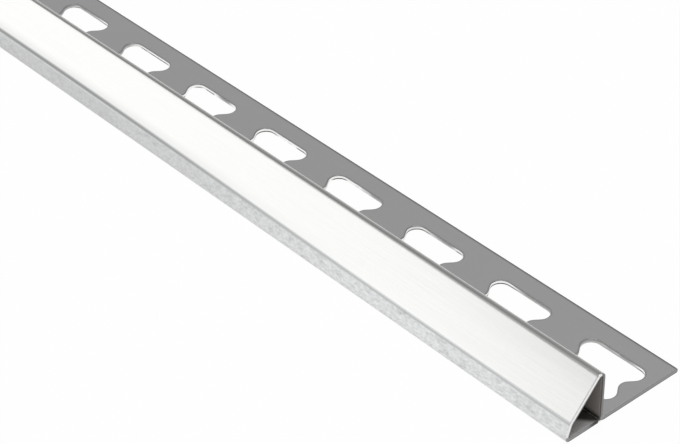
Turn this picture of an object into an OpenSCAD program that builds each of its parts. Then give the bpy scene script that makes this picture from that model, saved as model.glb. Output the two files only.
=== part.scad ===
// Floor transition strip: one length of thin stainless sheet, folded along its length.
// A flat punched leg is bedded in the tile adhesive, an upright wall stands against the
// tile's edge, and a hollow ramp falls from the top of the wall to the lower floor.
// X runs along the strip, Y from the foot of the ramp to the leg's free edge, Z is up.
// The origin is under the middle of the strip, on the floor.

/* [Stock] */
// Length of the bar as it is sold
length = 1000; // [300:1:2500]
// Thickness of the sheet
sheet_t = 0.8; // [0.5:0.05:1.2]

/* [Folded section] */
// Overall width, from the foot of the ramp to the free edge of the leg
total_w = 25.5; // [24:0.5:45]
// Height of the top of the ramp, which is the thickness of the tile
height = 10; // [8:0.5:14]
// Distance from the foot of the ramp to the face that meets the tile
wall_y = 8.2; // [6.5:0.1:9.5]
// Height of the fold between the steep lip and the ramp
lip_h = 3.5; // [2.5:0.1:4.5]
// Distance from the foot of the ramp back to that fold
lip_run = 0.85; // [0.5:0.05:1.5]
// Gap left between the free edge of the return flange and the foot of the wall
flange_gap = 0.2; // [0.1:0.1:1]

/* [Bends, measured inside the bend] */
// Bend where the leg turns up into the wall
foot_r = 0.4; // [0.2:0.05:1]
// Bend over the top of the wall
top_r = 0.2; // [0.1:0.05:1]
// Slight fold between the ramp and the lip
lip_r = 0.8; // [0.3:0.1:1.2]
// Fold at the foot of the ramp
front_r = 0.1; // [0.1:0.05:0.4]

/* [Punched holes] */
// Distance between the centres of two holes
pitch = 21; // [16:0.1:40]
// Distance from the near end of the bar to the first hole's centre
first_hole = 8.5; // [7:0.1:20]
// Overall length of a hole, along the bar
hole_l = 12.8; // [11:0.1:13.2]
// Overall width of a hole, across the leg
hole_w = 10.3; // [9.9:0.1:12]
// Length of a hole at its waist
waist_l = 9.8; // [9.4:0.1:11.5]
// Distance from the free edge of the leg to the holes
hole_margin = 4.2; // [3:0.1:6]
// Radius of the four lobes of a hole
lobe_r = 1.9; // [1.2:0.1:2]
// Radius of the two teeth at the waist of a hole
tooth_r = 1.9; // [0.5:0.1:2.2]

/* [Hidden] */
$fn = 64;

steel = [0.78, 0.79, 0.80];

// Holes along the bar, as many as leave the far end whole
end_margin = first_hole - hole_l / 2;
hole_count = floor((length - first_hole - hole_l / 2 - end_margin) / pitch) + 1;
hole_y = total_w - hole_margin - hole_w / 2;

// A slanting flat is tucked this far into the rounds at its ends, so that they join cleanly
tuck = 0.0005;

function reach(a, b) = norm(b - a);
function heading(a, b) = atan2(b[1] - a[1], b[0] - a[0]);
// Unit vectors along a slope and square to it, outwards
function along(a) = [cos(a), sin(a)];
function outward(a) = [-sin(a), cos(a)];
// Point where a line through p at angle a crosses a line through q at angle b
function crossing(p, a, q, b) =
    p + along(a) * (((q - p) * outward(b)) / (along(a) * outward(b)));

// Outside radii of the bends, and the centres of those at the wall's top and the foot of the ramp
top_out = top_r + sheet_t;
lip_out = lip_r + sheet_t;
front_out = front_r + sheet_t;
foot_out = foot_r + sheet_t;
top_c = [wall_y - top_out, height - top_out];
front_c = [front_out, front_out];
foot_c = [wall_y + foot_r, foot_out];

// Where the outer faces of lip and ramp would meet in a sharp edge, and their slopes:
// each face runs from that edge and touches the bend at its other end
lip_edge = [lip_run, lip_h];
ramp_a = heading(lip_edge, top_c) + asin(top_out / reach(lip_edge, top_c));
lip_a = heading(front_c, lip_edge) - asin(front_out / reach(front_c, lip_edge));
lip_c = crossing(lip_edge - outward(ramp_a) * lip_out, ramp_a,
                 lip_edge - outward(lip_a) * lip_out, lip_a);

// The ramp's outline, or with an inset of one sheet the hollow inside it
module ramp_outline(inset) {
    top = top_out - inset;
    lip = lip_out - inset;
    front = front_out - inset;
    polygon([
        [wall_y - inset, inset],
        [wall_y - inset, top_c[1]],
        top_c + outward(ramp_a) * (top - tuck),
        lip_c + outward(ramp_a) * (lip - tuck),
        lip_c + outward(lip_a) * (lip - tuck),
        front_c + outward(lip_a) * (front - tuck),
        [front_c[0], inset],
    ]);
    translate(top_c) circle(r = top);
    translate(lip_c) circle(r = lip);
    translate(front_c) circle(r = front);
}

// Wall, top bend, ramp, lip, front fold and return flange, open at the foot of the wall
module ramp_section() {
    difference() {
        ramp_outline(0);
        ramp_outline(sheet_t);
        translate([wall_y - sheet_t - flange_gap, -sheet_t])
            square([2 * sheet_t + flange_gap, sheet_t + foot_c[1]]);
    }
}

// The bend at the foot of the wall, and the leg
module leg_section() {
    difference() {
        intersection() {
            translate(foot_c) circle(r = foot_out);
            translate([foot_c[0] - foot_out, 0]) square(foot_out);
        }
        translate(foot_c) circle(r = foot_r);
    }
    translate([foot_c[0], 0]) square([total_w - foot_c[0], sheet_t]);
}

// One waisted hole, seen from above: a polygon with round lobes, less two round teeth
module hole_shape() {
    lobe = [hole_l / 2 - lobe_r, hole_w / 2 - lobe_r];
    tooth = [waist_l / 2 + tooth_r, 0];
    // A slanting side touches its lobe and its tooth on opposite sides
    slope = heading(tooth, lobe) - asin((lobe_r + tooth_r) / reach(tooth, lobe));
    on_lobe = lobe - outward(slope) * (lobe_r - tuck);
    on_tooth = tooth + outward(slope) * (tooth_r - tuck);
    corner = [lobe[0], hole_w / 2];
    right_top = [on_tooth, on_lobe, corner];
    function mirrored(points, x, y) = [for (p = points) [p[0] * x, p[1] * y]];
    function backwards(points) = [for (i = [len(points) - 1 : -1 : 0]) points[i]];
    difference() {
        union() {
            polygon(concat(
                right_top,
                backwards(mirrored(right_top, -1, 1)),
                mirrored(right_top, -1, -1),
                backwards(mirrored(right_top, 1, -1))));
            for (x = [-1, 1]) for (y = [-1, 1])
                translate([lobe[0] * x, lobe[1] * y]) rotate(x > 0 ? 180 : 0) circle(r = lobe_r);
        }
        for (x = [-1, 1]) translate([tooth[0] * x, 0]) rotate(x > 0 ? 0 : 180) circle(r = tooth_r);
    }
}

// The row of holes, punched right through the leg
module punched_holes() {
    translate([0, 0, -sheet_t]) linear_extrude(3 * sheet_t)
        for (i = [0 : hole_count - 1])
            translate([length / 2 - first_hole - i * pitch, hole_y]) hole_shape();
}

module transition_strip() {
    color(steel) translate([0, -total_w / 2, 0]) difference() {
        translate([-length / 2, 0, 0]) rotate([90, 0, 90]) linear_extrude(length) {
            ramp_section();
            leg_section();
        }
        punched_holes();
    }
}

transition_strip();
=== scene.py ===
"""Floor transition strip: the folded and punched stainless sheet, its finish and a plain studio.

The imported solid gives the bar's length, width and height. The sheet is built again as one fine
surface with true bends, punched holes and sheared edges, in the same place, in metres.
X runs along the bar to the end that the camera sees, Y from the foot of the ramp to the free
edge of the leg, and Z is up from the floor.
"""
from math import asin, atan2, cos, hypot, pi, radians, sin

import bpy
import numpy as np
from bpy.props import FloatProperty, FloatVectorProperty, IntProperty, PointerProperty
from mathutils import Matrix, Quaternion, Vector


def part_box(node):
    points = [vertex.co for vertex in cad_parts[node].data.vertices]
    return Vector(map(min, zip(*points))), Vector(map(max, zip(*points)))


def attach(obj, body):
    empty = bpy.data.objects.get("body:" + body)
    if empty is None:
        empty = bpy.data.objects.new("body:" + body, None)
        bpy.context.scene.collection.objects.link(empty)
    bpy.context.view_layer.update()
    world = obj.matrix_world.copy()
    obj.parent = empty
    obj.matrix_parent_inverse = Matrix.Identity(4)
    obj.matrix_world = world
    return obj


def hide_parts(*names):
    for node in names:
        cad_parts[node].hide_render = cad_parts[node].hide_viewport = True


bl_info = {
    "name": "Floor Transition Strip",
    "version": (1, 0, 0),
    "blender": (4, 5, 0),
    "location": "View3D > Sidebar > Strip",
    "description": "Builds a folded, punched floor transition strip and its studio",
    "category": "Add Mesh",
}

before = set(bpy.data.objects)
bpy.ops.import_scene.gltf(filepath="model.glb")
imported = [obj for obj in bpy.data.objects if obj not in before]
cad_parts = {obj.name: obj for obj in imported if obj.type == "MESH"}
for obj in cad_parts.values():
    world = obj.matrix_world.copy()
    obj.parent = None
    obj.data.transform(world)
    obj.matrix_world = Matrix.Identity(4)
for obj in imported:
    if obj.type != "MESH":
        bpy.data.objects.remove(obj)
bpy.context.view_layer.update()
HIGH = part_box("transition_strip")[1]
MM = 0.001

# Facets round the fold at the foot of the ramp, the one between lip and ramp, and the leg's bend
FRONT_STEPS, FOLD_STEPS, FOOT_STEPS = 9, 5, 6
# Facets of a quarter hole: along its side, round its lobe, down its flank, over half its tooth
SIDE_STEPS, LOBE_STEPS, TOOTH_STEPS = 2, 8, 3
QUARTER_STEPS = SIDE_STEPS + LOBE_STEPS + 1 + TOOTH_STEPS
# Of those, the ones that face the long side of the cell round the hole
CELL_SIDE_STEPS = 4
CELL_END_STEPS = QUARTER_STEPS - CELL_SIDE_STEPS
# Angles of a rounded edge, from the face to the cut
EDGE_TURN = np.radians([0.0, 30.0, 60.0, 90.0])
# Height of the line where the smooth part of a cut ends, as a share of the sheet
FRACTURE = 0.45
# Depth of the nine rings of a hole, and the cut and rim marks of the eight bands between them; a
# rim mark is the share of painted shade on its band
HOLE_DEPTH = np.array([0, 0, 0, 0, 0, 0, 1 - FRACTURE, 1, 1])[:, None]
HOLE_CUT = np.array([0, 0, 0, 0, 0, 1, 1, 0])[:, None]
HOLE_RIM = np.array([0, 0.2, 0.6, 0.6, 0.6, 0, 0, 0])[:, None]
# Rim marks of the bands beside a straight edge, as shares of painted shade, and depths from the
# inner to the outer face
EDGE_RIM = np.array([0.6, 1, 1, 1])
ACROSS = np.array([1.0, 0.0])
# Points closer than this are one point, and edges sharper than this stay sharp
MERGE = 0.0001 * MM
SHARP = radians(50)

# Kinds of grain: cells a metre along X, Y and Z, and detail
GRAINS = {
    "mottle": ((400.0, 900.0, 900.0), 3.0),
    "speckle": ((1400.0, 3000.0, 3000.0), 3.0),
    "streak": ((70.0, 5200.0, 5200.0), 3.0),
    "fine": ((420.0, 16000.0, 16000.0), 2.0),
    "torn": ((9000.0, 9000.0, 9000.0), 3.0),
    "patch": ((45.0, 45.0, 45.0), 2.0),
    "notch": ((130.0, 130.0, 130.0), 2.0),
}
# Start and stop of each fade, in millimetres past the line that it is measured from
FADES = {
    # On the leg, with its band of painted shade beside the free edge
    "above_leg": (0.1, 0.5),
    "leg_front": (-0.05, 0.4),
    "beside_edge": (-0.55, -0.40),
    # On the lip and its foot bend, which is painted light, the crease painted dark as shade, and
    # the ramp above that, painted in shade too
    "lip_top": (-0.25, 0.15),
    "lip_back": (2.0, 3.0),
    "foot_top": (0.05, 0.45),
    "foot_back": (0.6, 1.0),
    "crease_low": (-0.22, 0.12),
    "crease_high": (0.22, 0.62),
    "beyond_crease": (0.3, 1.9),
    # Over the top bend, which is painted darker as shade
    "ridge_low": (-0.13, -0.05),
    "ridge_back": (-1.15, -0.85),
    "bend_front": (-0.90, -0.70),
    "bend_low": (-0.75, -0.55),
    # At the two ends, and inside the ramp there, where light and shade are painted
    "upright": (-0.12, 0.02),
    "end": (-0.09, -0.02),
    "end_foot_shadow": (-0.14, -0.10),
    "end_foot_top": (0.16, 0.28),
    "lit": (0.3, 2.2),
    "corner_front": (-0.7, -0.3),
    "corner_back": (0.02, 0.1),
    "corner_top": (0.0, 1.2),
    "shaded_front": (-3.0, -0.8),
    "shaded_back": (0.0, 0.5),
    # On the floor, where the strip covers it
    "covered_front": (1.0, 1.3),
    "covered_back": (0.2, 0.4),
    "covered_end": (-0.5, 0.0),
}
# Start and stop of the bands through a cut, as shares of the sheet from its outer face
BANDS = {
    "broken": (0.45, 0.60),
    "hairline_shadow": (0.60, 0.72),
    "slope_middle": (0.30, 0.65),
    "slope_inner": (0.60, 1.0),
    "wall_inner": (0.55, 0.85),
}
# Levels of the grain where a polished stretch with its painted glint, its hairline of painted
# shadow, and the wear begin and are full
POLISHED_FROM, HAIRLINE_FROM, WORN_FROM = (-0.16, 0.04), (-0.01, 0.05), (0.0, 0.6)

# Slow wave of painted light and shade along the bar, lighter at its crests: the place of a crest,
# and its turn in radians a metre
WAVE_CREST, WAVE_TURN = 0.47, 28.5
# Painted light on the lip: change of its tone by the wave, strength of its spots and change of that
# by the wave
LIP_WAVE, SPOTS, SPOTS_WAVE = 0.12, 0.62, 0.22
# The painted shade of the crease between lip and ramp lies this far below the fold, and the wave
# moves and narrows it
CREASE_DROP, CREASE_SWING, CREASE_SPREAD = 0.10 * MM, 0.16 * MM, 0.05 * MM
# Change of the crease's painted shade by the wave
CREASE_WAVE = 0.24
# Painted shade on the ramp just above the crease: change of its tone by the wave and everywhere
BEYOND_WAVE, BEYOND_LOSS = 0.084, 0.07
# The ramp's upper part is painted this much darker at the near end, as shade, from this place and
# height on
DIM_LOSS, DIM_PLACE, DIM_HEIGHT = 0.08, 0.45, 5.5 * MM
# How much wider the band of the sawn end, with its painted highlight, is on the ramp and lip
SLOPE_END = 0.04 * MM
# How far in from an end the painted pool of light on the flange reaches, for each metre from the
# wall
LIT_SLANT = 1.25
# Wear: share of the streaks and of the mottling, everywhere and more on the lip, and a level
WORN_STREAK, WORN_STREAK_LIP, WORN_MOTTLE, WORN_MOTTLE_LIP, WORN_LEVEL = 0.05, 0.25, 0.04, 1.1, 0.03
# How far the grain frays the line where a cut broke, and how far the notches move its polish and
# painted glint
FRAY, NOTCH_SHARE = 0.25, 0.9
# Roughness added by the streaks, by the lip's mottling, inside the ramp and on its sawn ends
STREAK_ROUGH, MOTTLE_ROUGH, HOLLOW_ROUGH, SLOPE_END_ROUGH = 0.10, 0.20, 0.30, 0.4
# Relief of the fine lines, of the streaks and of a torn cut, and the bump that they make
FINE_RELIEF, STREAK_RELIEF, TORN_RELIEF = 0.5, 0.5, 2.0
BUMP_STRENGTH, BUMP_DEPTH = 0.25, 0.01 * MM
# Share of the metal's shine that is lost inside the ramp
HOLLOW_DULL = 0.8

# The floor lies this far below the strip's underside, and its low walls stand round it
FLOOR_DROP, FLOOR_REACH, FLOOR_WALL = 0.01 * MM, 20.0, 4.5
# Lamps, named as the settings of their power: width, height, place, turn about their own axis
LAMPS = {
    "soft_box": (4.4, 1.75, (-1.752, -1.637, 1.27), radians(-18)),
    "side_box": (0.6, 0.5, (1.86, -0.69, 0.49), 0.0),
    "front_box": (1.6, 0.9, (1.035, -1.69, 0.877), 0.0),
    "overhead": (1.2, 1.2, (0.4, 0.0, 2.4), 0.0),
}
# The point that they all face
LAMP_TARGET = (0.42, 0.0, 0.0)
# Upward part of a direction, from -1 to 1, over which the room's low grey turns to its high grey
ROOM_CHANGE = (0.48, 0.65)
# Width of the camera's sensor in millimetres, and the nearest and farthest that it sees
SENSOR_WIDTH = 36.0
CLIP_START, CLIP_END = 0.01, 100.0


# Sizes and colours

def length_property(name, description, default_mm):
    """A length in metres with its default given in millimetres."""
    return FloatProperty(name=name, description=description, default=default_mm * MM,
                         unit="LENGTH", subtype="DISTANCE", precision=5)


def colour_property(name, description, default):
    """A linear colour."""
    return FloatVectorProperty(name=name, description=description, default=default,
                               subtype="COLOR", size=3, min=0.0, max=1.0)


def share_property(name, description, default):
    """A number from 0 to 1."""
    return FloatProperty(name=name, description=description, default=default,
                         subtype="FACTOR", min=0.0, max=1.0)


class StripSizes(bpy.types.PropertyGroup):
    """Sizes of the folded sheet and of its holes."""
    sheet: length_property("Sheet", "Thickness of the sheet", 0.8)
    wall: length_property("Wall", "From the foot of the ramp to the face that meets the tile", 8.2)
    lip_height: length_property("Lip height", "Height of the fold between lip and ramp", 3.5)
    lip_run: length_property("Lip run", "From the foot of the ramp back to that fold", 0.85)
    flange_gap: length_property("Flange gap", "Gap between the return flange and the wall", 0.2)
    foot_bend: length_property("Foot bend", "Inside radius where leg and wall meet", 0.4)
    top_bend: length_property("Top bend", "Inside radius over the top of the wall", 0.2)
    lip_bend: length_property("Lip bend", "Inside radius between ramp and lip", 0.8)
    front_bend: length_property("Front bend", "Inside radius at the foot of the ramp", 0.1)
    pitch: length_property("Pitch", "Distance between the centres of two holes", 21.0)
    first_hole: length_property("First hole", "From the near end to the first centre", 8.5)
    hole_length: length_property("Hole length", "Length of a hole along the bar", 12.8)
    hole_width: length_property("Hole width", "Width of a hole across the leg", 10.3)
    waist: length_property("Waist", "Length of a hole between its two teeth", 9.8)
    hole_margin: length_property("Hole margin", "From the free edge to the holes", 4.2)
    lobe: length_property("Lobe radius", "Radius of the lobes of a hole", 1.9)
    tooth: length_property("Tooth radius", "Radius of the teeth of a hole", 1.9)
    rollover: length_property("Rollover", "Rounding where the punch or shear went in", 0.12)
    breakout: length_property("Breakout", "Widening of a hole at its underside", 0.04)
    support: length_property("Support", "From a bend or an edge to the first line beside it", 0.18)
    top_steps: IntProperty(name="Top bend steps", description="Facets round the top bend",
                           default=16, min=4, max=48)


class StripFinish(bpy.types.PropertyGroup):
    """Colours and roughness of the sheet's faces and cuts."""
    # The ramp's bright and the leg's dull tone are partly their finishes and partly painted light
    # and shade: the one steel is painted lighter on the ramp and darker on the leg
    ramp: colour_property("Ramp", "Bright rolled steel of the ramp", (0.80, 0.80, 0.79))
    lip: colour_property("Lip", "Brushed steel of the lip", (0.63, 0.64, 0.635))
    leg: colour_property("Leg", "Dull steel of the leg", (0.615, 0.615, 0.62))
    # Painted shade: the dark line along the fold between ramp and lip
    crease_shade: colour_property("Crease", "Rolled line between ramp and lip", (0.335, 0.345, 0.345))
    # Painted shade: the grey band over the top bend
    ridge_shade: colour_property("Ridge", "Stretched steel over the top bend", (0.53, 0.53, 0.52))
    # Painted shade: the dark line on the rounding along a cut
    rim: colour_property("Rim", "Rounding along a cut", (0.15, 0.15, 0.15))
    # The back of the sheet's own brownish grey, painted darker as shade inside the ramp
    inside: colour_property("Inside", "Back of the sheet, inside the ramp", (0.36, 0.33, 0.31))
    torn: colour_property("Torn", "Broken lower band of a cut", (0.50, 0.50, 0.49))
    burnished: colour_property("Burnished", "Smooth upper band of a cut", (0.34, 0.34, 0.34))
    # Painted highlight: the bright outer band at the ends of ramp and lip, also the light painted
    # on the ramp's foot bend
    sawn: colour_property("Sawn", "Bright outer band at the sheet's two ends", (0.93, 0.93, 0.92))
    # Painted shade: near black at the ends' inner edges, on the flange at the back of the ramp, in
    # the corner by the wall and along the foot of each end
    deep_shade: colour_property("Sawn dark", "Dark inner band at the two ends", (0.07, 0.065, 0.06))
    # Painted shade: the wall's ends, grey where the ends of ramp and lip are painted bright
    sawn_shade: colour_property("Sawn grey", "Outer band of the wall's ends", (0.24, 0.235, 0.23))
    sawn_low: colour_property("Sawn low", "Ends of leg and return flange", (0.31, 0.31, 0.31))
    worn: colour_property("Worn", "Worn streaks and spots", (0.45, 0.45, 0.46))
    # Painted shade: the dark band along the leg's free edge
    beside: colour_property("Beside", "Narrow band beside the free edge", (0.45, 0.45, 0.45))
    # Painted shade on the far side of the top bend
    back_bend_shade: colour_property("Back bend", "Far side of the top bend", (0.58, 0.58, 0.57))
    # Partly real polish, partly painted highlight: near white glints along the holes' cuts
    polished: colour_property("Polished", "Polished stretches of a cut", (0.98, 0.98, 0.97))
    # Painted shadow: the dark line low on a polished stretch of cut
    hairline_shadow: colour_property("Hairline", "Line where a polished cut broke", (0.16, 0.155, 0.15))
    # Painted light: the flange's top near the ends, where light comes into the ramp
    inside_lit: colour_property("Inside lit", "Clean flange near the ends", (0.74, 0.73, 0.72))
    ramp_rough: share_property("Ramp roughness", "Roughness of the ramp", 0.24)
    lip_rough: share_property("Lip roughness", "Roughness of the lip", 0.36)
    leg_rough: share_property("Leg roughness", "Roughness of the leg", 0.42)
    cut_rough: share_property("Cut roughness", "Roughness of the cut edges", 0.50)


class StudioSettings(bpy.types.PropertyGroup):
    """Camera, floor, room and lamps."""
    lens: FloatProperty(name="Lens", description="Focal length on a 36 mm sensor",
                        default=109.06, unit="CAMERA")
    place: FloatVectorProperty(name="Camera place", description="Where the camera stands",
                               default=(0.658717, -0.189320, 0.213987), subtype="TRANSLATION")
    turn: FloatVectorProperty(name="Camera turn", description="Rotation of the camera",
                              default=(radians(53.9802), radians(1.1175), radians(49.3133)),
                              subtype="EULER")
    floor_colour: colour_property("Floor", "Colour of the floor", (0.90, 0.90, 0.90))
    floor_white: share_property("Floor white", "Share of plain white that a view gets", 0.975)
    room: share_property("Room", "Grey level of the room, high up", 0.38)
    room_low: share_property("Room low", "Grey level of the room, low down", 0.43)
    soft_box: FloatProperty(name="Soft box", description="Power of the lamp before the ramp",
                            default=20.5, unit="POWER")
    side_box: FloatProperty(name="Side box", description="Power of the lamp beside the end",
                            default=1.4, unit="POWER")
    front_box: FloatProperty(name="Front box", description="Power of the lamp between those two",
                             default=3.2, unit="POWER")
    overhead: FloatProperty(name="Overhead", description="Power of the lamp above",
                            default=16.0, unit="POWER")


# The folded section

def arc(centre, radius, angles):
    """Points on a circle: the centre plus the radius along each angle."""
    return np.column_stack([centre[0] + radius * np.cos(angles),
                            centre[1] + radius * np.sin(angles)])


def slopes(size, height):
    """Centres of the bends and slopes of ramp and lip.

    Each slanting face runs from the edge where lip and ramp would meet and touches the bend at
    its other end: its slope is that of the line to the bend's centre, turned by the angle whose
    sine is radius over distance. The fold's centre lies on the bisector of the two faces.
    """
    top_out, front_out = size.top_bend + size.sheet, size.front_bend + size.sheet
    top = np.array([size.wall - top_out, height - top_out])
    front = np.array([front_out, front_out])
    edge = np.array([size.lip_run, size.lip_height])
    to_top, to_edge = top - edge, edge - front
    ramp = atan2(to_top[1], to_top[0]) + asin(top_out / hypot(*to_top))
    lip = atan2(to_edge[1], to_edge[0]) - asin(front_out / hypot(*to_edge))
    middle = (lip + ramp) / 2
    depth = (size.lip_bend + size.sheet) / cos((lip - ramp) / 2)
    fold = edge + depth * np.array([sin(middle), -cos(middle)])
    return top, front, fold, ramp, lip


def folded_pairs(size, height):
    """Stations along the sheet from the return flange to the leg, as pairs of (Y, Z) points.

    One point of a pair lies on the outer face and one on the inner face. Round a bend both
    turn about its centre, with radii one sheet apart; a flat has a pair near each of its ends.
    """
    t, right = size.sheet, pi / 2
    top, front, fold, ramp, lip = slopes(size, height)
    foot = np.array([size.wall + size.foot_bend, size.foot_bend + t])
    bends = [
        (front, size.front_bend + t, size.front_bend, -right, lip - 3 * right, FRONT_STEPS),
        (fold, size.lip_bend + t, size.lip_bend, lip - 3 * right, ramp - 3 * right, FOLD_STEPS),
        (top, size.top_bend + t, size.top_bend, ramp + right, 0.0, size.top_steps),
        (foot, size.foot_bend, size.foot_bend + t, pi, 3 * right, FOOT_STEPS),
    ]
    turn = EDGE_TURN[::-1]
    run = size.wall - t - size.flange_gap - size.rollover * (1 - np.sin(turn))
    rounding = size.rollover * (1 - np.cos(turn))
    outer = [np.column_stack([run, rounding])]
    inner = [np.column_stack([run, t - rounding])]
    for centre, outer_radius, inner_radius, start, stop, steps in bends:
        angles = np.linspace(start, stop, steps + 1)
        next_outer = arc(centre, outer_radius, angles)
        next_inner = arc(centre, inner_radius, angles)
        flat_outer, flat_inner = next_outer[0] - outer[-1][-1], next_inner[0] - inner[-1][-1]
        near = size.support / hypot(*flat_outer)
        share = np.array([[near], [1 - near]])
        outer += [outer[-1][-1] + share * flat_outer, next_outer]
        inner += [inner[-1][-1] + share * flat_inner, next_inner]
    leg = outer[-1][-1][0] + size.support
    return np.vstack(outer + [[[leg, t]]]), np.vstack(inner + [[[leg, 0.0]]])


def free_edge_pairs(size, width):
    """Pairs of (Y, Z) points at the leg's free edge, whose rounding is a quarter circle."""
    turn = np.concatenate([[0.0], EDGE_TURN])
    run = width - size.rollover * (1 - np.sin(turn))
    run[0] -= size.support
    rounding = size.rollover * (1 - np.cos(turn))
    return np.column_stack([run, size.sheet - rounding]), np.column_stack([run, rounding])


# The punched holes

def all_quarters(quarter):
    """The quarter from the long side to the tooth's tip, mirrored into a whole ring."""
    down = (quarter * [1, -1])[::-1][1:]
    left = (quarter * [-1, -1])[1:]
    up = (quarter * [-1, 1])[::-1][1:-1]
    return np.vstack([quarter, down, left, up])


def hole_outline(size):
    """One hole seen from above, as points and the directions into the sheet there.

    A quarter runs from the middle of the long side round the lobe, down a slanting flank that
    touches lobe and tooth on opposite sides, to the tip of the tooth. The rest is mirrored.
    """
    lobe = np.array([size.hole_length / 2 - size.lobe, size.hole_width / 2 - size.lobe])
    tooth = np.array([size.waist / 2 + size.tooth, 0.0])
    across = lobe - tooth
    slope = atan2(across[1], across[0]) - asin((size.lobe + size.tooth) / hypot(*across))
    lobe_turn = np.linspace(pi / 2, slope - pi / 2, LOBE_STEPS + 1)
    tooth_turn = np.linspace(slope + pi / 2, pi, TOOTH_STEPS + 1)
    side = np.column_stack([np.linspace(0, lobe[0], SIDE_STEPS + 1)[:-1],
                            np.full(SIDE_STEPS, size.hole_width / 2)])
    up = np.tile([0.0, 1.0], (SIDE_STEPS, 1))
    points = np.vstack([side, arc(lobe, size.lobe, lobe_turn), arc(tooth, size.tooth, tooth_turn)])
    away = np.vstack([up, arc((0, 0), 1.0, lobe_turn), -arc((0, 0), 1.0, tooth_turn)])
    return all_quarters(points), all_quarters(away)


def cell_outline(left, right, low, high, centre):
    """The rectangle round one hole, with as many points as the hole, in the same order.

    In each quarter the points are evenly spaced from the middle of the long side to the
    corner, and again from the corner to the height of the hole's centre.
    """
    def quarter(x_end, y_end):
        along = np.linspace(centre[0], x_end, CELL_SIDE_STEPS + 1)
        down = np.linspace(y_end, centre[1], CELL_END_STEPS + 1)[1:]
        return np.vstack([np.column_stack([along, np.full(len(along), y_end)]),
                          np.column_stack([np.full(len(down), x_end), down])])

    return np.vstack([quarter(right, high), quarter(right, low)[::-1][1:],
                      quarter(left, low)[1:], quarter(left, high)[::-1][1:-1]])


def punched_cell(size, cell, centre):
    """Rings of one hole, from the cell's rectangle over the rounded rim and down the cut.

    A ring is the outline moved into the sheet by its own distance, at its own height: round
    the rim these follow a quarter circle, and below the fracture line the cut widens.
    """
    points, away = hole_outline(size)
    t, roll = size.sheet, size.rollover
    moved = np.concatenate([[roll + size.support], roll * (1 - np.sin(EDGE_TURN)),
                            [0.0, size.breakout]])
    heights = np.concatenate([[t], t - roll * (1 - np.cos(EDGE_TURN)), [FRACTURE * t, 0.0]])
    rings = centre + points + moved[:, None, None] * away
    rings = np.concatenate([cell[None], rings, cell[None]])
    heights = np.concatenate([[t], heights, [0.0]])
    tall = np.broadcast_to(heights[:, None, None], rings.shape[:2] + (1,))
    return np.concatenate([rings, tall], axis=2)


# One surface from grids

class SheetSurface:
    """Grids of points gathered into one closed surface.

    Each point has a depth, 0 on the outer face and 1 on the inner one. Each face has marks: cut
    where the sheet was sawn, sheared or punched, inner on the inner face and rim on the rounding
    along a cut, where its value is the share of painted shade.
    """

    def __init__(self):
        self.points, self.depths, self.faces, self.count = [], [], [], 0
        self.marks = {"cut": [], "inner": [], "rim": []}

    def add(self, grid, depth, closed=False, flip=False, **marks):
        """Adds rows x stations points; a closed grid joins its last station to its first.

        Depths and marks are arrays that stretch over the grid and over its faces.
        """
        rows, stations = grid.shape[:2]
        index = self.count + np.arange(rows * stations).reshape(rows, stations)
        if closed:
            index = np.column_stack([index, index[:, 0]])
        quads = np.stack([index[:-1, :-1], index[:-1, 1:], index[1:, 1:], index[1:, :-1]], axis=2)
        for name, values in self.marks.items():
            values.append(np.broadcast_to(marks.get(name, 0.0), quads.shape[:2]).reshape(-1))
        quads = quads.reshape(-1, 4)
        self.points.append(grid.reshape(-1, 3))
        self.depths.append(np.broadcast_to(depth, (rows, stations)).reshape(-1))
        self.faces.append(quads[:, ::-1] if flip else quads)
        self.count += rows * stations

    def mesh(self, name, shift):
        """Merges points that coincide and fills a mesh."""
        points = np.vstack(self.points) + shift
        keys = np.round(points / MERGE).astype(np.int64)
        _, first, same = np.unique(keys, axis=0, return_index=True, return_inverse=True)
        faces = same.reshape(-1)[np.vstack(self.faces)]
        mesh = bpy.data.meshes.new(name)
        mesh.from_pydata(points[first].tolist(), [], faces.tolist())
        for mark, values in self.marks.items():
            layer = mesh.attributes.new(mark, "FLOAT", "FACE")
            layer.data.foreach_set("value", np.concatenate(values).astype(np.float32))
        layer = mesh.attributes.new("depth", "FLOAT", "POINT")
        layer.data.foreach_set("value", np.concatenate(self.depths)[first].astype(np.float32))
        mesh.polygons.foreach_set("use_smooth", np.ones(len(faces), dtype=bool))
        mesh.set_sharp_from_angle(angle=SHARP)
        mesh.update()
        return mesh


def carried(pairs, rows, inset):
    """Both faces of a run of the sheet, carried along X.

    At each row the two points of a pair move towards each other by the inset, which rounds
    the sheet's cut end.
    """
    outer, inner = pairs
    half = (outer - inner) / 2
    depth = np.hypot(half[:, 0], half[:, 1])
    step = (half / depth[:, None])[None] * inset[:, None, None]
    along = np.broadcast_to(rows[:, None, None], (len(rows), len(outer), 1))
    faces = (outer[None] - step, inner[None] + step)
    return [np.concatenate([along, face], axis=2) for face in faces]


def add_run(surface, pairs, rows, inset, first_edge=False, last_edge=False, rim=0.0):
    """Adds both faces of a run, and the sheared edge at its first or last station."""
    outer, inner = carried(pairs, rows, inset)
    surface.add(outer, 0.0, flip=True, rim=rim)
    surface.add(inner, 1.0, inner=1.0, rim=rim)
    if first_edge:
        surface.add(np.stack([inner[:, 0], outer[:, 0]], axis=1), ACROSS, flip=True, cut=1.0)
    if last_edge:
        surface.add(np.stack([inner[:, -1], outer[:, -1]], axis=1), ACROSS, cut=1.0)
    return outer, inner


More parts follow.
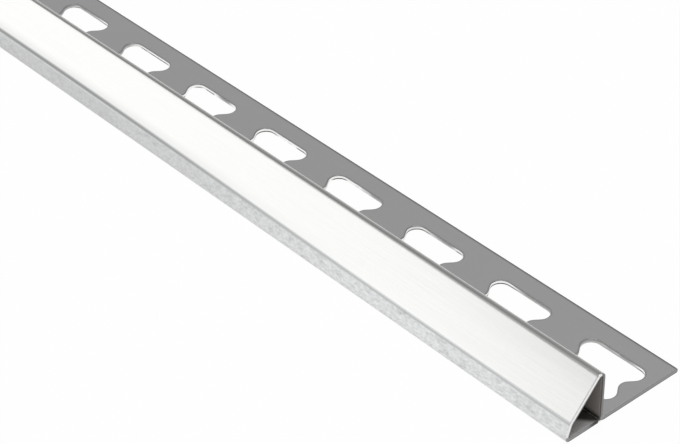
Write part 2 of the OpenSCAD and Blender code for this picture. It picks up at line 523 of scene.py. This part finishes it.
def strip_surface(size, length, width, height):
    """The whole strip about the middle of its length, from the foot of the ramp.

    The fold and the free edge are sections carried along X. Between them the leg is a row of
    cells, one to a hole, and a full section closes each end.
    """
    surface = SheetSurface()
    fold, edge = folded_pairs(size, height), free_edge_pairs(size, width)
    low, high = fold[0][-1][0], edge[0][0][0]
    middle_y = width - size.hole_margin - size.hole_width / 2
    end = length / 2 - size.rollover - size.support
    spare = size.first_hole - size.hole_length / 2
    count = int((length - size.first_hole - size.hole_length / 2 - spare) / size.pitch) + 1
    centres = (length / 2 - size.first_hole - size.pitch * np.arange(count))[::-1]
    borders = np.concatenate([[-end], (centres[1:] + centres[:-1]) / 2, [end]])
    # The leg's cells from the far end to the near one, and the places in X of all their points
    rows = [borders[:1]]
    for left, right, centre_x in zip(borders[:-1], borders[1:], centres):
        rows += [np.linspace(left, centre_x, CELL_SIDE_STEPS + 1)[1:],
                 np.linspace(centre_x, right, CELL_SIDE_STEPS + 1)[1:]]
        centre = np.array([centre_x, middle_y])
        cell = cell_outline(left, right, low, high, centre)
        surface.add(punched_cell(size, cell, centre), HOLE_DEPTH, closed=True, flip=True,
                    cut=HOLE_CUT, rim=HOLE_RIM)
    # The fold and the free edge, at the same places in X
    rows = np.concatenate(rows)
    no_inset = np.zeros(len(rows))
    # The flange's free edge gets painted shade on its rounding, as the rims do
    flange_rim = np.zeros(len(fold[0]) - 1)
    flange_rim[:len(EDGE_RIM)] = EDGE_RIM[::-1]
    add_run(surface, fold, rows, no_inset, first_edge=True, rim=flange_rim)
    add_run(surface, edge, rows, no_inset, last_edge=True, rim=EDGE_RIM)
    # The whole section, rounded off at each end and closed there
    across = np.concatenate([np.linspace(low, middle_y, CELL_END_STEPS + 1)[1:],
                             np.linspace(middle_y, high, CELL_END_STEPS + 1)[1:-1]])
    leg = [np.column_stack([across, np.full(len(across), z)]) for z in (size.sheet, 0.0)]
    section = [np.vstack(run) for run in zip(fold, leg, edge)]
    turn = np.concatenate([[0.0], EDGE_TURN])
    ends = length / 2 - size.rollover * (1 - np.sin(turn))
    ends[0] = end
    inset = size.rollover * (1 - np.cos(turn))
    for side in (1, -1):
        outer, inner = add_run(surface, section, (side * ends)[::side], inset[::side],
                               first_edge=True, last_edge=True)
        last = -1 if side > 0 else 0
        surface.add(np.stack([inner[last], outer[last]]), ACROSS[:, None], flip=side < 0, cut=1.0)
    return surface


# Shader maths

class Value:
    """A socket in an expression: its operators add Math nodes."""

    def __init__(self, nodes, socket):
        self.nodes, self.socket = nodes, socket

    def _math(self, operation, *values):
        sockets = dict(enumerate(values))
        return self.nodes.make("ShaderNodeMath", {"operation": operation}, sockets)

    def __add__(self, other):
        return self._math("ADD", self, other)

    def __sub__(self, other):
        return self._math("SUBTRACT", self, other)

    def __rsub__(self, other):
        return self._math("SUBTRACT", other, self)

    def __mul__(self, other):
        return self._math("MULTIPLY", self, other)

    __radd__, __rmul__ = __add__, __mul__

    def __abs__(self):
        return self._math("ABSOLUTE", self)

    def cosine(self):
        return self._math("COSINE", self)


class Nodes:
    """Makes the nodes of one material or world."""

    def __init__(self, owner):
        owner.use_nodes = True
        self.tree = owner.node_tree
        self.tree.nodes.clear()

    def make(self, kind, settings=None, sockets=None, out=0):
        """Adds a node: settings first, then values or links of its sockets by name or number.

        Gives back the output that out names or numbers, or a list of them for a tuple of names.
        """
        node = self.tree.nodes.new(kind)
        for name, value in (settings or {}).items():
            setattr(node, name, value)
        for name, value in (sockets or {}).items():
            if isinstance(value, Value):
                self.tree.links.new(value.socket, node.inputs[name])
            else:
                node.inputs[name].default_value = value
        if isinstance(out, tuple):
            return [Value(self, node.outputs[name]) for name in out]
        return Value(self, node.outputs[out]) if node.outputs else None

    def mix(self, first, second, factor):
        """First colour to second colour by the factor; the colours are sockets 6 and 7."""
        sockets = {0: factor, 6: rgba(first), 7: rgba(second)}
        return self.make("ShaderNodeMix", {"data_type": "RGBA"}, sockets, out=2)

    def layers(self, colour, *layers):
        """A colour with further colours laid over it in turn, each as far as its mask says."""
        for over, mask in layers:
            colour = self.mix(colour, over, mask)
        return colour

    def scaled(self, colour, factor):
        """A colour times a number."""
        colour = colour if isinstance(colour, Value) else tuple(colour)
        sockets = {0: colour, "Scale": factor}
        return self.make("ShaderNodeVectorMath", {"operation": "SCALE"}, sockets)

    def rise(self, value, start, stop):
        """0 below start, 1 above stop, smooth between them."""
        sockets = {"Value": value, "From Min": start, "From Max": stop}
        return self.make("ShaderNodeMapRange", {"interpolation_type": "SMOOTHSTEP"}, sockets)

    def fade(self, value, line, name):
        """0 before and 1 after the named fade, which is measured from a line."""
        start, stop = FADES[name]
        return self.rise(value, line + start * MM, line + stop * MM)

    def grain(self, place, name):
        """Noise from -0.5 to 0.5 of the named kind."""
        stretch, detail = GRAINS[name]
        scaled = self.make("ShaderNodeMapping", {}, {"Vector": place, "Scale": stretch})
        noise = self.make("ShaderNodeTexNoise", {}, {"Vector": scaled, "Scale": 1.0,
                                                     "Detail": detail})
        return noise - 0.5


def rgba(colour):
    """A plain colour with its alpha, or a linked one as it is."""
    return colour if isinstance(colour, Value) else (*colour, 1.0)


# The finish

class Zones:
    """Where each finish and each patch of painted light and shade lies, as masks from 0 to 1 read
    from the place on the object.

    Like the sizes, y counts from the foot of the ramp. Most masks are a rise past one line
    times a fall past another.
    """

    def __init__(self, nodes, size, place, length, width, height):
        fade = nodes.fade
        x, y, z = nodes.make("ShaderNodeSeparateXYZ", {}, {"Vector": place}, out=("X", "Y", "Z"))
        y = y + width / 2
        self.cut, self.inner, self.rim, self.depth = [
            nodes.make("ShaderNodeAttribute", {"attribute_name": name}, out="Fac")
            for name in ("cut", "inner", "rim", "depth")]
        # Painted light and shade along the bar: a slow cosine, lighter at its crests and darker
        # between them
        self.light_wave = ((x - WAVE_CREST) * WAVE_TURN).cosine()

        # The outer faces, the leg and the top bend, and the back of the sheet under the ramp, with
        # the painted light on the foot bend and painted shade over the top bend and beside the free
        # edge
        fold, wall_inside = size.lip_height, size.wall - size.sheet
        self.low = 1 - fade(z, size.sheet, "above_leg")
        self.lip = (1 - fade(z, fold, "lip_top")) * (1 - fade(y, 0.0, "lip_back"))
        # Painted light: the ramp's foot bend, as bright as the ends' painted highlight
        self.foot = (1 - fade(z, 0.0, "foot_top")) * (1 - fade(y, 0.0, "foot_back"))
        self.leg = fade(y, size.wall, "leg_front") * self.low
        # Painted shade in a narrow band along the free edge
        self.beside = fade(y, width, "beside_edge") * self.low
        # Painted shade over the top bend and on its far side
        self.ridge_shade = fade(z, height, "ridge_low") * (1 - fade(y, size.wall, "ridge_back"))
        self.back_bend_shade = fade(y, size.wall, "bend_front") * fade(z, height, "bend_low")
        self.hollow = self.inner * (1 - self.leg)

        # Painted shade on the crease, on the ramp just above it, and on the ramp's dim upper part
        # at the near end
        line = z + self.light_wave * CREASE_SWING + CREASE_DROP
        self.crease_shade = fade(line, fold, "crease_low") \
            * (1 - fade(line + self.light_wave * CREASE_SPREAD, fold, "crease_high")) * (1 - self.inner)
        self.beyond_shade = (1 - self.lip) * (1 - fade(z, fold, "beyond_crease"))
        self.dim = nodes.rise(x, DIM_PLACE, length / 2) * nodes.rise(z, DIM_HEIGHT, height)

        # The two ends, with the wall and the slopes apart, and the light and shade painted near
        # them
        far = abs(x)
        self.upright = fade(y, wall_inside, "upright")
        self.sloping = (1 - self.low) * (1 - self.upright)
        self.end = fade(far + self.sloping * SLOPE_END, length / 2, "end")
        # Painted shadow along the foot of each end
        self.end_foot_shadow = fade(far, length / 2, "end_foot_shadow") * (1 - fade(z, 0.0, "end_foot_top"))
        deep = length / 2 - far
        # Painted pool of light on the flange near each end, reaching deeper away from the wall
        self.lit = fade((wall_inside - y) * LIT_SLANT - deep, 0.0, "lit") * self.low
        # Painted shadow in the corner where the return flange's edge meets the wall
        self.corner = fade(y, wall_inside, "corner_front") \
            * (1 - fade(y, wall_inside, "corner_back")) * (1 - fade(z, size.sheet, "corner_top"))
        # Painted shade on the ends of leg and flange, darker towards the wall
        self.shaded = fade(y, wall_inside, "shaded_front") \
            * (1 - fade(y, wall_inside, "shaded_back"))


def face_colour(nodes, finish, zones, grain):
    """Colour of the faces: the finishes outside, with painted light and shade over them, and inside
    the ramp the back of the sheet, painted dark as shade, with a painted pool of light near the
    ends.
    """
    spots = (grain["mottle"] + grain["speckle"]) * (zones.light_wave * SPOTS_WAVE + SPOTS)
    # Painted shade on the ramp just above the crease
    beyond_shade = zones.beyond_shade * (zones.light_wave * BEYOND_WAVE - BEYOND_LOSS)
    tone = 1 + zones.lip * (zones.light_wave * LIP_WAVE + spots) + beyond_shade - zones.dim * DIM_LOSS
    outside = nodes.layers(
        nodes.scaled(nodes.mix(finish.ramp, finish.lip, zones.lip), tone),
        # painted light on the ramp's foot bend
        (finish.sawn, zones.foot),
        # painted shade on the crease
        (nodes.scaled(finish.crease_shade, 1 + zones.light_wave * CREASE_WAVE), zones.crease_shade),
        # painted shade over the top bend and on its far side
        (finish.ridge_shade, zones.ridge_shade),
        (finish.back_bend_shade, zones.back_bend_shade),
        # the leg's tone, partly painted shade
        (finish.leg, zones.leg),
        # painted shade beside the free edge
        (finish.beside, zones.beside))
    inside = nodes.layers(
        finish.inside,
        # painted shadow: the return flange's top, black at the back of the ramp
        (finish.deep_shade, zones.low),
        # painted pool of light on the flange near the ends
        (finish.inside_lit, zones.lit))
    return nodes.layers(
        outside,
        (inside, zones.hollow),
        # painted shade on the roundings along the cuts
        (finish.rim, zones.rim * (1 - zones.hollow)))


def cut_colour(nodes, finish, zones, grain):
    """Colour of a cut: a smooth band over a torn one, and polished stretches painted near white as
    glints, with a dark line of painted shadow on their lower part.
    """
    broken = nodes.rise(zones.depth + grain["torn"] * FRAY, *BANDS["broken"])
    hairline_shadow = nodes.rise(zones.depth, *BANDS["hairline_shadow"]) \
        * nodes.rise(grain["notch"], *HAIRLINE_FROM)
    polished = nodes.rise(grain["patch"] + grain["notch"] * NOTCH_SHARE, *POLISHED_FROM)
    return nodes.layers(
        finish.burnished,
        (finish.torn, broken),
        (nodes.mix(finish.polished, finish.hairline_shadow, hairline_shadow), polished))


def end_colour(nodes, finish, zones):
    """Colour of the sheet's two ends, in bands from its outer face to its inner one: a painted
    highlight on the ends of ramp and lip, painted shade on the wall's ends and at every inner edge,
    and on leg and flange painted shade towards the wall.
    """
    def band(name):
        return nodes.rise(zones.depth, *BANDS[name])

    slope = nodes.layers(
        # painted highlight over grey, with painted shade at the inner edge
        finish.sawn,
        (finish.burnished, band("slope_middle")),
        (finish.deep_shade, band("slope_inner")))
    wall = nodes.mix(finish.sawn_shade, finish.deep_shade, band("wall_inner"))
    return nodes.layers(
        # Ends of leg and flange, with painted shade towards the wall
        nodes.mix(finish.sawn_low, finish.deep_shade, zones.shaded),
        (wall, (1 - zones.low) * zones.upright),
        (slope, zones.sloping))


def stainless_sheet(size, finish, length, width, height):
    """One sheet of stainless steel: bright ramp, brushed lip, dull leg, grey cut edges.

    Fine lines run along the bar, as the rolls and the brush leave them. Painted light and shade lie
    over the finish: the ramp partly lighter and the leg partly darker, dark lines at the crease,
    the top bend and the rims, bright and dark bands at the ends, glints on the holes' cuts, and
    shade inside the ramp.
    """
    material = bpy.data.materials.new("stainless_sheet")
    nodes = Nodes(material)
    place = nodes.make("ShaderNodeTexCoord", out="Object")
    zones = Zones(nodes, size, place, length, width, height)
    grain = {name: nodes.grain(place, name) for name in GRAINS}
    mottle, streak = grain["mottle"], grain["streak"]

    worn = streak * (zones.lip * WORN_STREAK_LIP + WORN_STREAK) \
        + mottle * (zones.lip * WORN_MOTTLE_LIP + WORN_MOTTLE) + WORN_LEVEL
    shade = nodes.layers(
        face_colour(nodes, finish, zones, grain),
        (cut_colour(nodes, finish, zones, grain), zones.cut),
        # painted shadow in the corner by the wall
        (finish.deep_shade, zones.corner),
        (finish.worn, nodes.rise(worn, *WORN_FROM) * (1 - zones.cut)),
        (end_colour(nodes, finish, zones), zones.end),
        # painted shadow along the foot of each end
        (finish.deep_shade, zones.end_foot_shadow))

    rough = finish.ramp_rough + zones.lip * (finish.lip_rough - finish.ramp_rough) \
        + zones.leg * (finish.leg_rough - finish.ramp_rough) \
        + streak * STREAK_ROUGH + mottle * zones.lip * MOTTLE_ROUGH \
        + zones.hollow * HOLLOW_ROUGH + zones.end * zones.sloping * SLOPE_END_ROUGH
    rough = rough * (1 - zones.cut) + zones.cut * finish.cut_rough

    relief = grain["fine"] * FINE_RELIEF + streak * STREAK_RELIEF \
        + grain["torn"] * zones.cut * TORN_RELIEF
    bump = nodes.make("ShaderNodeBump", {}, {"Strength": BUMP_STRENGTH, "Distance": BUMP_DEPTH,
                                             "Height": relief})
    steel = nodes.make("ShaderNodeBsdfPrincipled", {}, {
        "Metallic": 1 - zones.hollow * HOLLOW_DULL, "Base Color": shade, "Roughness": rough,
        "Normal": bump})
    nodes.make("ShaderNodeOutputMaterial", {}, {"Surface": steel})
    return material


def pale_floor(studio, length, foot, wall):
    """Matt floor that a view, a reflection or a see-through ray meets as nearly plain white.

    Under the closed part of the strip, from its foot to its wall, the floor is only matt, so
    that no light comes up through the slit beside the return flange.
    """
    material = bpy.data.materials.new("pale_floor")
    nodes = Nodes(material)
    place = nodes.make("ShaderNodeTexCoord", out="Object")
    x, y = nodes.make("ShaderNodeSeparateXYZ", {}, {"Vector": place}, out=("X", "Y"))
    covered = nodes.fade(y, foot, "covered_front") * (1 - nodes.fade(y, wall, "covered_back")) \
        * (1 - nodes.fade(abs(x), length / 2, "covered_end"))
    matt = nodes.make("ShaderNodeBsdfDiffuse", {}, {"Color": rgba(studio.floor_colour)})
    white = nodes.make("ShaderNodeEmission", {}, {"Color": (1, 1, 1, 1), "Strength": 1.0})
    seen, mirrored, through = nodes.make("ShaderNodeLightPath", out=(
        "Is Camera Ray", "Is Glossy Ray", "Is Transmission Ray"))
    share = (seen + mirrored + through) * studio.floor_white * (1 - covered)
    surface = nodes.make("ShaderNodeMixShader", {}, {0: share, 1: matt, 2: white})
    nodes.make("ShaderNodeOutputMaterial", {}, {"Surface": surface})
    return material


# Operators

def add_lamp(scene, name, power):
    """A rectangular lamp that faces the target, turned about its own axis."""
    width, height, place, turn = LAMPS[name]
    lamp = bpy.data.lights.new(name, "AREA")
    lamp.shape = "RECTANGLE"
    lamp.size, lamp.size_y, lamp.energy = width, height, power
    holder = bpy.data.objects.new(name, lamp)
    holder.location = place
    facing = (Vector(LAMP_TARGET) - Vector(place)).to_track_quat("-Z", "Y")
    holder.rotation_euler = (facing @ Quaternion((0.0, 0.0, 1.0), turn)).to_euler()
    holder.visible_camera = False
    scene.collection.objects.link(holder)


def add_floor(scene, material):
    """A square floor just under the strip, with a low wall along each side."""
    reach = FLOOR_REACH
    corners = ((-reach, -reach), (reach, -reach), (reach, reach), (-reach, reach))
    points = [(x, y, z) for z in (-FLOOR_DROP, FLOOR_WALL) for x, y in corners]
    walls = [(n, (n + 1) % 4, (n + 1) % 4 + 4, n + 4) for n in range(4)]
    mesh = bpy.data.meshes.new("floor")
    mesh.from_pydata(points, [], [(0, 1, 2, 3)] + walls)
    mesh.materials.append(material)
    ground = bpy.data.objects.new("floor", mesh)
    scene.collection.objects.link(ground)


def add_room(scene, studio):
    """A world of plain grey, with one level low down and another high up."""
    scene.world = bpy.data.worlds.new("grey_room")
    nodes = Nodes(scene.world)
    way = nodes.make("ShaderNodeTexCoord", out="Generated")
    up = nodes.make("ShaderNodeSeparateXYZ", {}, {"Vector": way}, out="Z")
    tone = nodes.mix([studio.room_low] * 3, [studio.room] * 3, nodes.rise(up, *ROOM_CHANGE))
    grey = nodes.make("ShaderNodeBackground", {}, {"Color": tone, "Strength": 1.0})
    nodes.make("ShaderNodeOutputWorld", {}, {"Surface": grey})


def add_camera(scene, studio):
    """The camera, with its lens, place and turn as set."""
    camera = bpy.data.cameras.new("camera")
    camera.lens, camera.sensor_width = studio.lens, SENSOR_WIDTH
    camera.clip_start, camera.clip_end = CLIP_START, CLIP_END
    holder = bpy.data.objects.new("camera", camera)
    holder.location, holder.rotation_euler = studio.place, studio.turn
    scene.collection.objects.link(holder)
    scene.camera = holder


class STRIP_OT_folded_sheet(bpy.types.Operator):
    """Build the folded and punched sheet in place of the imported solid"""
    bl_idname = "strip.folded_sheet"
    bl_label = "Folded sheet"

    def execute(self, context):
        size, finish = context.scene.strip_sizes, context.scene.strip_finish
        length, width, height = 2 * HIGH.x, 2 * HIGH.y, HIGH.z
        surface = strip_surface(size, length, width, height)
        mesh = surface.mesh("folded_sheet", (0.0, -width / 2, 0.0))
        mesh.materials.append(stainless_sheet(size, finish, length, width, height))
        piece = bpy.data.objects.new("folded_sheet", mesh)
        context.scene.collection.objects.link(piece)
        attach(piece, "root")
        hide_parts("transition_strip")
        return {"FINISHED"}


class STRIP_OT_studio(bpy.types.Operator):
    """Lay the pale floor with its low walls and set the lamps, the grey room and the camera"""
    bl_idname = "strip.studio"
    bl_label = "Studio"

    def execute(self, context):
        scene, size, studio = context.scene, context.scene.strip_sizes, context.scene.strip_studio
        length, half_width = 2 * HIGH.x, HIGH.y
        add_floor(scene, pale_floor(studio, length, -half_width, size.wall - half_width))
        add_room(scene, studio)
        for name in LAMPS:
            add_lamp(scene, name, getattr(studio, name))
        add_camera(scene, studio)
        scene.view_settings.view_transform = "Standard"
        return {"FINISHED"}


class STRIP_PT_panel(bpy.types.Panel):
    """Lists the strip's sizes, finish and studio, with the buttons that build them"""
    bl_label = "Floor transition strip"
    bl_idname = "STRIP_PT_panel"
    bl_space_type = "VIEW_3D"
    bl_region_type = "UI"
    bl_category = "Strip"

    def draw(self, context):
        scene, layout = context.scene, self.layout
        for group, operator in ((scene.strip_sizes, "strip.folded_sheet"),
                                (scene.strip_finish, None),
                                (scene.strip_studio, "strip.studio")):
            box = layout.box()
            for name in group.__annotations__:
                box.prop(group, name)
            if operator:
                box.operator(operator)


CLASSES = (StripSizes, StripFinish, StudioSettings, STRIP_OT_folded_sheet, STRIP_OT_studio,
           STRIP_PT_panel)


def register():
    """Registers the classes and gives each scene the three groups of settings."""
    for kind in CLASSES:
        bpy.utils.register_class(kind)
    bpy.types.Scene.strip_sizes = PointerProperty(type=StripSizes)
    bpy.types.Scene.strip_finish = PointerProperty(type=StripFinish)
    bpy.types.Scene.strip_studio = PointerProperty(type=StudioSettings)


def unregister():
    """Takes the settings and the classes away again."""
    del bpy.types.Scene.strip_studio, bpy.types.Scene.strip_finish, bpy.types.Scene.strip_sizes
    for kind in reversed(CLASSES):
        bpy.utils.unregister_class(kind)


def main():
    """Registers the add-on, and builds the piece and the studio."""
    register()
    bpy.ops.strip.folded_sheet()
    bpy.ops.strip.studio()


if __name__ == "__main__":
    main()
